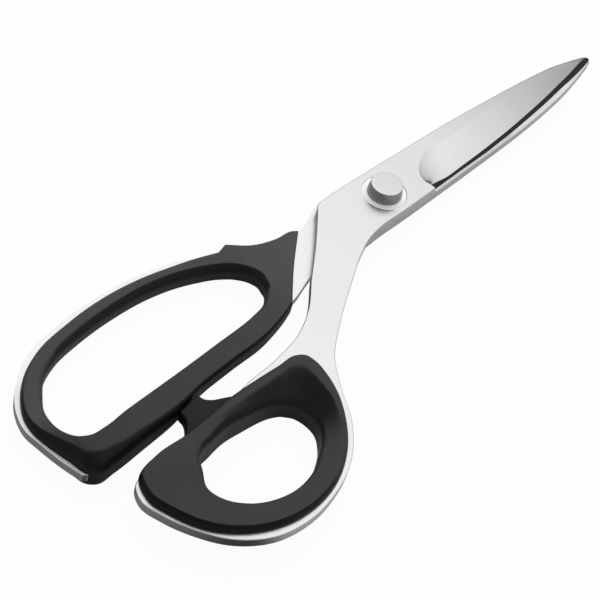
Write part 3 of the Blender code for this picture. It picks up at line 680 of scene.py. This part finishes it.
# Ribs of the grips: foot X and Y, wall X and Y, crest over the steel, shoulder's run, drop to the
# wall, base height, setback below
fingerRibs = [
    (-31.7, 6.1, -55.1, 1.5, 1.7, 1.0, 0, 1.2, 0, sharp),
    (-43.0, -2.9, -55.5, -1.8, 1.7, 1.0, 0, 1.2, 0),
    (-54.1, -12.9, -57.7, -5.3, 1.7, 1.0, 0, 1.2, 0, sharp),
    (-58.4, -14.4, -60.7, -7.3, 1.7, 1.0, 0, 1.2, 0),
    (-68, -16.7, -67.0, -8.8, 1.7, 1.1, 0, 1.2, 0),
    (-84, -17.7, -84.0, -9.8, 1.7, 1.2, 0, 1.2, 0),
    (-98, -18.7, -98.0, -10.5, 1.9, 1.4, 0, 1.0, 0),
    (-111, -21.2, -111.0, -11.4, 3.0, 2.2, 0, 0.3, 0),
    (-124, -22.3, -123.0, -12.3, 4.1, 3.0, 0, 0, 0),
    (-136, -23.1, -132.4, -13.3, 4.9, 4.6, 0, 0, 0),
    (-142.7, -22.9, -137.6, -12.9, 5.1, 6.4, 0, 0, 0),
    (-145.3, -20.5, -140.2, -11.4, 5.0, 5.6, 0, 0, 0.2),
    (-146.2, -14.8, -141.5, -9.2, 4.5, 3.9, 0, 0, 0.8),
    (-147.4, -7.4, -142.1, -5.3, 3.7, 2.6, 0, 0.3, 0.8),
    (-147.7, -1.4, -141.4, -1.3, 2.9, 2.0, 0, 0.8, 0.8),
    (-146.4, 3.9, -139.8, 2.6, 2.2, 1.8, 0, 1.0, 0.8),
    (-142.5, 9.7, -136.3, 6.9, 1.8, 1.6, 0, 1.2, 0.8),
    (-135.8, 15.5, -131.5, 11.4, 1.7, 1.6, 0, 1.2, 0.8),
    (-127, 19.6, -124.4, 14.5, 1.7, 1.5, 0, 1.2, 0.8),
    (-113, 22.1, -112.0, 16.6, 1.7, 1.5, 0, 1.2, 0.8),
    (-98, 22.9, -98.0, 17.3, 1.7, 1.5, 0, 1.2, 0.8),
    (-84, 21.7, -85.0, 16.6, 1.7, 1.5, 0, 1.2, 0.8),
    (-73, 19.4, -74.9, 14.6, 1.7, 1.4, 0, 1.2, 0.6),
    (-65, 17.3, -68.0, 12.2, 1.7, 1.2, 0, 1.2, 0.2),
    (-57.7, 14.8, -62.4, 9.6, 1.7, 1.0, 0, 1.2, 0, sharp),
    (-53.9, 15.8, -59.7, 7.8, 1.7, 1.0, 0, 1.2, 0, sharp),
    (-46.7, 10.3, -57.0, 5.2, 1.7, 1.0, 0, 1.2, 0),
    (-39.5, 7.9, -55.8, 3.4, 1.7, 1.0, 0, 1.2, 0),
    (-33.2, 7.1, -55.3, 2.2, 1.7, 1.0, 0, 1.2, 0),
]
thumbRibs = [
    (-66.5, -33.6, -81.5, -40.6, 2.4, 5.4, 2.7, 0, 1.9),
    (-67.3, -38.6, -80.7, -43.6, 2.4, 5.2, 3.0, 0, 1.9),
    (-69.6, -45.0, -81.1, -48.3, 2.4, 4.0, 2.8, 0, 1.9),
    (-74.2, -52.4, -84.6, -53.2, 2.4, 2.8, 2.3, 0, 1.9),
    (-82.0, -60.8, -90.4, -57.3, 2.4, 2.2, 1.8, 0, 1.9),
    (-92.5, -67.1, -97.0, -60.7, 2.4, 1.8, 1.4, 0, 1.9),
    (-104, -69.7, -104.8, -61.9, 2.4, 1.6, 1.2, 0, 1.9),
    (-116, -68.6, -112.7, -60.5, 2.4, 1.6, 0.9, 0, 1.9),
    (-126.8, -63.5, -119.2, -57.1, 2.4, 1.6, 0.5, 0, 1.9),
    (-134.3, -56.0, -123.5, -52.1, 2.4, 1.6, 0.2, 0, 1.9),
    (-138.8, -46.0, -124.4, -46.0, 2.4, 1.6, 0, 0, 1.9),
    (-140.1, -38.2, -121.1, -41.2, 2.4, 1.6, 0, 0, 1.6),
    (-137.0, -31.8, -119.1, -38.1, 2.4, 1.7, 0, 0, 0.6),
    (-128.4, -29.5, -116.2, -36.3, 2.4, 2.0, 0.1, 0, 0),
    (-117, -29.4, -111.3, -35.4, 2.4, 2.4, 0.2, 0, 0),
    (-106, -28.4, -104.0, -34.4, 2.4, 3.0, 0.6, 0, 0),
    (-96.0, -27.5, -96.4, -34.9, 2.4, 3.4, 1.0, 0, 0.2),
    (-87.0, -27.5, -90.0, -35.6, 2.4, 3.8, 1.5, 0, 1.4),
    (-76.5, -27.9, -85.8, -36.8, 2.4, 4.6, 2.1, 0, 1.9),
    (-69.8, -28.2, -83.6, -38.1, 2.4, 5.2, 2.4, 0, 1.9),
    (-67.2, -30.0, -82.5, -39.3, 2.4, 5.4, 2.5, 0, 1.9),
]
gripShape = {
    "ribStep": 0.8,
    "topPoints": 48,
    "roundPoints": 9,
    "softRidge": 0.22,
    "fade": 0.4,              # drop at which the soft ridge has mostly taken over from a flat top
    "seat": 0.02,             # how far the rubber starts below the face that it stands on
    "leastBlend": 0.01,
    "leastDish": 0.5,
    "sharpAngle": 50,
    # points of a section in each zone, from the outside over the top to the wall of the hole; the
    # rest, below, belongs to the first zone
    "zonePoints": [11, 20, 5, 2, 3, 6, 8],
}
fingerGripShape = {
    "low": steel["fingerLow"],
    "high": steel["fingerTop"],
    "baseRound": 1.4,
    "lowerRun": 1.6,
    "lipRound": (1.5, 2.6),      # on the side of the hole towards -Y and on the other one
    # painted light and shade: the top's tone, and by zone the walls' tone, paler towards the hole's wall
    "litTopTone": 1.5,
    "shadedWallTones": [1.0, 1.5, 1.7, 1.9, 2.2, 2.6, 4.6],      # by zone
    # painted shade and light: darker along the bar to the rear corner, paler towards the wedge
    "barTone": [(-147, 0.35), (-140, 0.58), (-62, 0.78), (-54, 1.0), (-44, 1.18)],      # along X
    "restTone": [(-56, 1.0), (-46, 1.18)],
    "barEnd": (-8, 2),           # Y between which the bar's tone passes into the rest's
}
thumbGripShape = {
    "low": steel["thumbLow"],
    "high": steel["thumbTop"],
    "baseRound": 1.6,
    "lowerRun": 2.2,
    "lipRound": (1.6, 2.8),
    # painted light and shade: the top's tone, and by zone the walls' tone, paler towards the hole's wall
    "litTopTone": 1.05,
    "shadedWallTones": [1.0, 1.5, 1.7, 1.9, 2.6, 3.7, 6.4],
}


# Section along each rib, from the foot to the wall in the finger hole and back below. The upper
# side is a soft minimum of two heights, the shoulder's quarter ellipse and the even slope of the
# dish, less what the lip takes off: a circle that the slope touches and that ends upright at the
# wall. The lower side is a rounded base and a shoulder.
def gripGrid(rows, shape):
    g = gripShape
    low, high, baseRound = shape["low"], shape["high"], shape["baseRound"]
    ribs = curveThrough(rows, g["ribStep"])
    smooth = curveThrough([row[:9] for row in rows], g["ribStep"])      # no corners in the hole
    ribs[:, 2:4] = smooth[:, 2:4]
    foot, wall = ribs[:, None, :2], ribs[:, None, 2:4]
    crest, run, drop, base, under = (np.maximum(ribs[:, 4 + i, None], 0) for i in range(5))
    width = np.linalg.norm(wall - foot, axis=2)
    inward = (wall - foot) / width[..., None]
    facing = np.clip(0.5 - 0.5 * inward[..., 1], 0, 1)      # 1 on the side of the hole towards +Y
    lipRound = shape["lipRound"][0] + (shape["lipRound"][1] - shape["lipRound"][0]) * facing
    top = high + crest
    s = (1 - np.cos(np.pi * np.linspace(0, 1, g["topPoints"])))[None, :] / 2
    reach = width * s
    rise = np.sqrt(np.maximum(0, 1 - np.maximum(0, 1 - reach / run) ** 2))
    shoulder = high - g["seat"] + (crest + g["seat"]) * rise
    slope = drop / np.maximum(width - lipRound / 2 - run, g["leastDish"])
    dish = top - slope * np.maximum(0, reach - run)
    steep = np.sqrt(1 + slope ** 2)
    past = np.clip(reach - (width - lipRound), 0, lipRound)
    centre = top - slope * np.maximum(0, width - lipRound - run) - lipRound * steep
    lip = centre + np.sqrt(lipRound ** 2 - past ** 2)
    taken = np.where(past > lipRound * slope / steep, dish - lip, 0)
    blend = np.minimum(reach / run, 1) * g["softRidge"] + g["leastBlend"]
    upper = -blend * np.logaddexp(-shoulder / blend, -dish / blend)
    upper = upper + blend * math.log(2) * np.exp(-drop / g["fade"])
    upper = np.where(s == 0, high - g["seat"], upper - taken)
    downTurn = np.radians(np.linspace(0, -90, g["roundPoints"]))[None, :]
    baseReach = width - baseRound + baseRound * np.cos(downTurn)
    baseHeight = base + baseRound + baseRound * np.sin(downTurn)
    upTurn = np.radians(np.linspace(90, 0, g["roundPoints"]))[None, :]
    lowReach = under + shape["lowerRun"] * (1 - np.cos(upTurn))
    lowHeight = low - (low - base) * np.sin(upTurn)
    reachAll = np.hstack([reach, baseReach, lowReach])
    heightAll = np.hstack([upper, baseHeight, lowHeight])
    return np.dstack([foot + inward * reachAll[..., None], heightAll])


# The section's points fall into zones, the same on every rib
def gripPart(rows, shape):
    grid = gripGrid(rows, shape)
    points = gripShape["zonePoints"]
    zones = np.zeros(grid.shape[1], int)
    zones[:sum(points)] = np.repeat(np.arange(len(points)), points)
    return gridPart(grid, np.tile(zones, len(grid)), True, True)


# Closing stop on the thumb grip: a bar with rounded corners whose two flanks flare into the grip
stopShape = {
    "low": 3.0,
    "high": 7.2,
    "round": 0.8,
    "leastRound": 0.02,
    "rows": 25,
    "rootRows": 22,      # the face's rounding takes the place of the last ones
    "faceSteps": 6,
    "cornerSteps": 5,
    "blur": [1, 2, 3, 2, 1],
    "left": [
        (-118.5, -31.5), (-114.6, -28.4), (-112.0, -26.0), (-110.7, -24.2), (-110.4, -22.7),
        (-110.4, -21.3),
    ],
    "right": [
        (-88.5, -31.5), (-91.6, -27.5), (-95.7, -25.6), (-98.9, -24.3), (-101.0, -22.5),
        (-101.4, -19.9),
    ],
    # painted shade: the stop's top and walls are darker, as it sits low in the grip's shade
    "shadeTones": (0.35, 0.6),
}


def unit(vector):
    return vector / np.linalg.norm(vector)


# Rows run from the root to the face; around each row the section is a rounded rectangle between
# the two flanks, and the last rows draw in along a quarter circle to round the face's border.
def stopGrid():
    g = stopShape
    t = np.linspace(0, 1, g["rows"])
    blur = np.array(g["blur"]) / sum(g["blur"])
    flanks = []
    for side in (np.array(g["left"]), np.array(g["right"])):
        knots = np.linspace(0, 1, len(side))
        flank = np.column_stack([np.interp(t, knots, side[:, k]) for k in range(2)])
        for k in range(2):
            flank[2:-2, k] = np.convolve(flank[:, k], blur, "valid")
        flanks.append(flank)
    left, right = flanks
    across = unit(right[-1] - left[-1])
    rows = [(left[i], right[i], 0.0) for i in range(g["rootRows"])]
    for angle in np.radians(np.linspace(0, 90, g["faceSteps"]))[1:]:
        back = g["round"] * (math.sin(angle) - 1)
        draw = g["round"] * (1 - math.cos(angle))
        rows.append((
            left[-1] + unit(left[-1] - left[-2]) * back + across * draw,
            right[-1] + unit(right[-1] - right[-2]) * back - across * draw, draw))
    turn = np.radians(np.linspace(0, 90, g["cornerSteps"]))
    grid = []
    for a, b, draw in rows:
        low, high = g["low"] + draw, g["high"] - draw
        half = np.linalg.norm(b - a) / 2
        corner = max(g["round"] - draw, g["leastRound"])
        u, z = [], []
        for cu, cz, phase in ((1, 1, 0), (-1, 1, 90), (-1, -1, 180), (1, -1, 270)):
            angle = turn + math.radians(phase)
            u += list(cu * (half - corner) + corner * np.cos(angle))
            z += list((high - corner if cz > 0 else low + corner) + corner * np.sin(angle))
        grid.append(np.column_stack([(a + b) / 2 + np.outer(u, unit(b - a)), z]))
    return np.array(grid)


# The bar and its two end faces
def stopParts(zone):
    grid = stopGrid()
    around = [list(range(grid.shape[1]))]
    caps = [(end, around, np.full(1, zone)) for end in (grid[0], grid[-1])]
    return [gridPart(grid, zone, False, True)] + caps


# Painted light and shade on the finger grip: darker along the bar to the rear corner, paler on the wedge
def fingerLightAndShade(x, y, zone):
    g = fingerGripShape
    share = np.clip((y - g["barEnd"][0]) / (g["barEnd"][1] - g["barEnd"][0]), 0, 1)
    return readRows(g["barTone"], x) * (1 - share) + readRows(g["restTone"], x) * share


# Painted light and shade of a grip, by zone: the top's tone and the walls' tone
def gripLightAndShade(shape):
    return [(shape["litTopTone"], tone) for tone in shape["shadedWallTones"]]


rubberMaterial = gripRubber()
fingerParts = [gripPart(fingerRibs, fingerGripShape)]
fingerGrip = solid("fingerGripRubber", fingerParts, gripShape["sharpAngle"])
addFinishAndShade(fingerGrip, gripLightAndShade(fingerGripShape), fingerLightAndShade)
thumbParts = [gripPart(thumbRibs, thumbGripShape)] + stopParts(len(thumbGripShape["shadedWallTones"]))
thumbGrip = solid("thumbGripRubber", thumbParts, gripShape["sharpAngle"])
addFinishAndShade(thumbGrip, gripLightAndShade(thumbGripShape) + [stopShape["shadeTones"]])
for piece, node, body in (
        (thumbGrip, "thumb_grip", "thumb_half"), (fingerGrip, "finger_grip", "finger_half")):
    piece.data.materials.append(rubberMaterial)
    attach(piece, body)
    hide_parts(node)
print("grips ready")

# Pieces of the pivot: profiles of radius and height turned about its axis
turnedShape = {"steps": 144, "cornerSteps": 7, "sharpAngle": 25}


# Radius times the cosine and the sine of the turn, at the profile's height
def turned(radius, height, turn):
    height = np.broadcast_to(height, (len(radius), len(turn)))
    return np.dstack([radius * np.cos(turn), radius * np.sin(turn), height])


# The profile starts and ends on the axis
def turnedSolid(name, profile):
    rows = np.array(profile, float)
    turn = np.arange(turnedShape["steps"]) * 2 * math.pi / turnedShape["steps"]
    grid = turned(rows[:, :1], rows[:, 1:], turn)
    return solid(name, [gridPart(grid, 0, False, True)], turnedShape["sharpAngle"])


# Rounded corner of a profile: its centre, its radius and the angles of its ends
def bend(radius, height, size, first, last):
    angle = np.radians(np.linspace(first, last, turnedShape["cornerSteps"]))
    return list(zip(radius + size * np.cos(angle), height + size * np.sin(angle)))


knobShape = {
    "low": 8.82,
    "top": 12.85,
    "middle": 2.5,       # a ring of points in the flat top
    "disc": 4.80,
    "edge": 0.16,
    "slope": 9,          # of the side, in degrees
    "body": 5.55,
    "foot": 0.15,
    "hollow": (4.5, 10.35),      # radius and upper end
    "bore": (2.8, 11.55),
}


# Flat top with a rounded edge, a side that widens downwards to a rounded foot, and the hollow below
def knobProfile():
    k = knobShape
    hollow, bore = k["hollow"], k["bore"]
    return (
        [(0, k["top"]), (k["middle"], k["top"])]
        + bend(k["disc"], k["top"] - k["edge"], k["edge"], 90, k["slope"])
        + bend(k["body"] - k["foot"], k["low"] + k["foot"], k["foot"], k["slope"], -90)
        + [(hollow[0], k["low"]), hollow, (bore[0], hollow[1]), bore, (0, bore[1])])


knob = turnedSolid("adjustingKnobFine", knobProfile())
# painted shade: the knob's side is darker than its top
knob.data.materials.append(turnedMetal(
    "knobSteel", (0.81, 0.798, 0.802), roughness=0.28, ringTone=0.05, side=(0.34, 0.5)))

# radius and height, from the stem's top down to the head
screwProfile = (
    [(0, 11.25)] + bend(2.1, 10.85, 0.4, 90, 0)
    + [(2.5, 8.75), (3.2, 8.75), (3.2, 7.75), (3.5, 7.75), (3.5, 5.15), (4.2, 5.15), (4.2, 2.45)]
    + bend(6.8, 2.25, 0.2, 90, 0) + bend(6.3, 0.7, 0.7, 0, -90) + [(3, 0), (0, 0)])
screw = turnedSolid("pivotScrewFine", screwProfile)
screw.data.materials.append(turnedMetal(
    "screwSteel", (0.66, 0.65, 0.63), roughness=0.26, ringTone=0.08))

ringShape = {
    "top": 8.75,
    "teeth": 84,
    "toothSteps": 8,
    "toothDepth": 0.05,
    "sharpAngle": 35,
    # radius, how far below the top, and share of the teeth's depth there
    "rows": np.array([
        (3.5, 0.7, 0), (3.5, 0.05, 0), (3.55, 0, 0), (5.3, 0, 0), (5.6, 0, 0.2), (5.85, 0.024, 0.9),
        (6.1, 0.048, 1), (6.45, 0.084, 1), (6.88, 0.12, 1), (7.0, 0.2, 0.3), (7.0, 0.7, 0),
    ]),
}


# Serrated ring: its top falls a little outwards, and round the axis it sinks by a cosine wave
def ringGrid():
    r = ringShape
    steps = r["teeth"] * r["toothSteps"]
    turn = np.arange(steps) * 2 * math.pi / steps
    radius, below, share = (r["rows"][:, i:i + 1] for i in range(3))
    sink = share * r["toothDepth"] * (0.5 - 0.5 * np.cos(r["teeth"] * turn))
    return turned(radius, r["top"] - below - sink, turn)


ring = solid("clickRingFine", [gridPart(ringGrid(), 0, True, True)], ringShape["sharpAngle"])
# painted light: the ring glows a little
ring.data.materials.append(turnedMetal(
    "ringSteel", (1.0, 0.99, 0.985), roughness=0.45, ringTone=0.05, metallic=0.15, paintedGlow=0.14))
for piece, node, body in (
        (knob, "adjusting_knob", "knob"), (screw, "pivot_screw", "finger_half"),
        (ring, "click_ring", "finger_half")):
    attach(piece, body)
    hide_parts(node)

bronze = turnedMetal("bushBronze", (0.45, 0.33, 0.18), roughness=0.38, ringTone=0.10)
polymer = turnedMetal(
    "washerPolymer", (0.72, 0.72, 0.70), roughness=0.50, ringTone=0.05, metallic=0.0)
spring = turnedMetal("springSteel", (0.50, 0.49, 0.47), roughness=0.32, ringTone=0.10)
for node, material in (
        ("pivot_bush", bronze), ("ride_washer", polymer), ("spring_washer", spring)):
    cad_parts[node].data.materials.clear()
    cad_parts[node].data.materials.append(material)
print("pivot ready")

# Floor, in metres
floorLook = {
    "halfSize": 6,
    "height": -0.0003,
    "colour": (0.86, 0.86, 0.86, 1),
    "cameraWhite": 0.955,
    "glossyWhite": 0.10,
}
floorCorners = [
    (x * floorLook["halfSize"], y * floorLook["halfSize"], floorLook["height"])
    for x, y in ((-1, -1), (1, -1), (1, 1), (-1, 1))]
floorMesh = bpy.data.meshes.new("floor")
floorMesh.from_pydata(floorCorners, [], [(0, 1, 2, 3)])
floor = bpy.data.objects.new("floor", floorMesh)
bpy.context.scene.collection.objects.link(floor)


# Pale matt floor; the camera sees mostly plain white with the object's shadow left in it
def paleFloor():
    look = Look("paleFloor")
    camera = look.node("ShaderNodeLightPath", output="Is Camera Ray")
    glossy = look.node("ShaderNodeLightPath", output="Is Glossy Ray")
    matt = look.node("ShaderNodeBsdfDiffuse", {}, {"Color": floorLook["colour"]})
    white = look.node("ShaderNodeEmission", {}, {"Color": (1, 1, 1, 1), "Strength": 1.0})
    share = camera * floorLook["cameraWhite"] + glossy * floorLook["glossyWhite"]
    mixed = look.node("ShaderNodeMixShader", {}, {0: share, 1: matt, 2: white})
    look.node("ShaderNodeOutputMaterial", {}, {"Surface": mixed})
    return look.material


floorMesh.materials.append(paleFloor())

# Light: a soft studio dome with brighter and darker fields, and one large lamp
studio = {
    "ambient": 0.50,
    "least": 0.02,
    "horizon": (0.0, 0.32, -0.30),      # sines of two elevations, level added at the lower one
    "fields": [          # direction, half angle inside, half angle outside, added level
        ((0.578, 0.36, 0.73), 16, 36, 0.545),
        ((0.578, -0.60, 0.55), 22, 42, 0.36),
        ((-0.08, 0.02, 1.0), 14, 32, -0.42),
        ((0.90, 0.30, 0.33), 12, 38, -0.20),
        ((-0.64, -0.39, 0.52), 22, 48, -0.12),
    ],
    "lampWatts": 10.0,
    "lampSize": 1.2,
    "lampPlace": (0.60, 0.55, 1.0),
}


# Even light, and for each field a smooth step of the cosine of the angle to its direction
def studioDome():
    world = bpy.data.worlds.new("studio")
    bpy.context.scene.world = world
    world.use_nodes = True
    look = Look("studio", world.node_tree)
    direction = look.coordinate("Generated")
    level = studio["ambient"]
    for towards, inner, outer, added in studio["fields"]:
        axis = tuple(Vector(towards).normalized())
        facing = look.node(
            "ShaderNodeVectorMath", {"operation": "DOT_PRODUCT"}, {0: direction, 1: axis},
            output="Value")
        field = facing.between(math.cos(math.radians(outer)), math.cos(math.radians(inner)))
        level = level + field * added
    x, y, z = look.split(direction)
    lower, upper, added = studio["horizon"]
    level = level + (1 - z.between(lower, upper)) * added
    level = level.maths("MAXIMUM", level, studio["least"])
    camera = look.node("ShaderNodeLightPath", output="Is Camera Ray")
    dome = look.node("ShaderNodeBackground", {}, {"Color": (1, 1, 1, 1), "Strength": level})
    white = look.node("ShaderNodeBackground", {}, {"Color": (1, 1, 1, 1), "Strength": 1.0})
    mixed = look.node("ShaderNodeMixShader", {}, {0: camera, 1: dome, 2: white})
    look.node("ShaderNodeOutputWorld", {}, {"Surface": mixed})


studioDome()
lamp = bpy.data.lights.new("softLamp", "AREA")
lamp.energy = studio["lampWatts"]
lamp.size = studio["lampSize"]
lampObject = bpy.data.objects.new("softLamp", lamp)
lampObject.location = studio["lampPlace"]
lampObject.visible_glossy = False      # reflections show the dome alone
lampObject.rotation_mode = "QUATERNION"
lampObject.rotation_quaternion = Vector(studio["lampPlace"]).to_track_quat("Z", "Y")
bpy.context.scene.collection.objects.link(lampObject)
bpy.context.scene.view_settings.view_transform = "Standard"

# Camera: the photograph's own angle, worked out from the outlines
shot = {
    "target": (-0.053, -0.0142, 0.00875),
    "distance": 0.85,
    "azimuth": -58.7,
    "elevation": 47.43,
    "roll": 16.49,
    "focalPixels": 2900.2,
    "framePixels": 600,
    "sensorWidth": 36,
    "near": 0.01,
    "far": 50,
}


# The angles give the camera's three axes, and it stands back from the target along the last
def addCamera():
    a, e, r = (math.radians(shot[k]) for k in ("azimuth", "elevation", "roll"))
    forward = Vector((-math.sin(a) * math.cos(e), math.cos(a) * math.cos(e), -math.sin(e)))
    level = Vector((math.cos(a), math.sin(a), 0))
    upright = level.cross(forward)
    right = level * math.cos(r) + upright * math.sin(r)
    up = upright * math.cos(r) - level * math.sin(r)
    data = bpy.data.cameras.new("camera")
    data.sensor_width = shot["sensorWidth"]
    data.lens = shot["focalPixels"] * shot["sensorWidth"] / shot["framePixels"]
    data.clip_start, data.clip_end = shot["near"], shot["far"]
    camera = bpy.data.objects.new("camera", data)
    place = Matrix((right, up, -forward)).transposed().to_4x4()
    place.translation = Vector(shot["target"]) - forward * shot["distance"]
    camera.matrix_world = place
    bpy.context.scene.collection.objects.link(camera)
    bpy.context.scene.camera = camera


addCamera()
print("scene ready")
